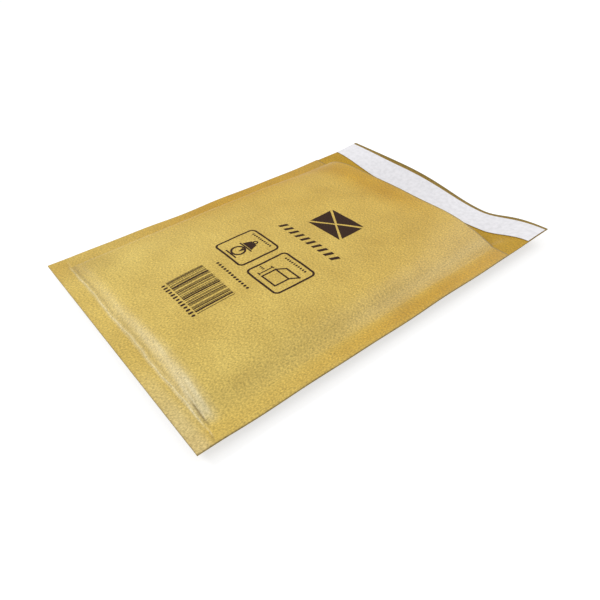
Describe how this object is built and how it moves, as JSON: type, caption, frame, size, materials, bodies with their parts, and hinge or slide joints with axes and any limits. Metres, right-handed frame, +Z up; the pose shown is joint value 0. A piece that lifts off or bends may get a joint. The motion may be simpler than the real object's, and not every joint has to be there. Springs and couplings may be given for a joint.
{
  "type": "padded envelope",
  "caption": "Flat kraft paper mailing envelope lined with bubble film, open at one end, with a peel-off closing strip on its flap.",
  "frame": {"origin": "on the table, under the middle of the envelope's outline with the flap laid out", "axes": "+X across the envelope to its right side seam, +Y from the sealed bottom edge to the edge of the flap, +Z up from the table through the printed front"},
  "size_m": [0.16, 0.235, 0.0165],
  "materials": {
    "kraft_paper": "satin golden brown kraft paper with a fine fibre mottle",
    "bubble_film": "clear glossy film",
    "adhesive": "tacky pale hot-melt",
    "release_liner": "silky white release paper"
  },
  "bodies": {
    "root": {"back_panel": "kraft_paper", "front_panel": "kraft_paper", "back_bubble_lining": "bubble_film", "front_bubble_lining": "bubble_film", "adhesive_strip": "adhesive", "release_liner": "release_liner"}
  },
  "joints": []
}
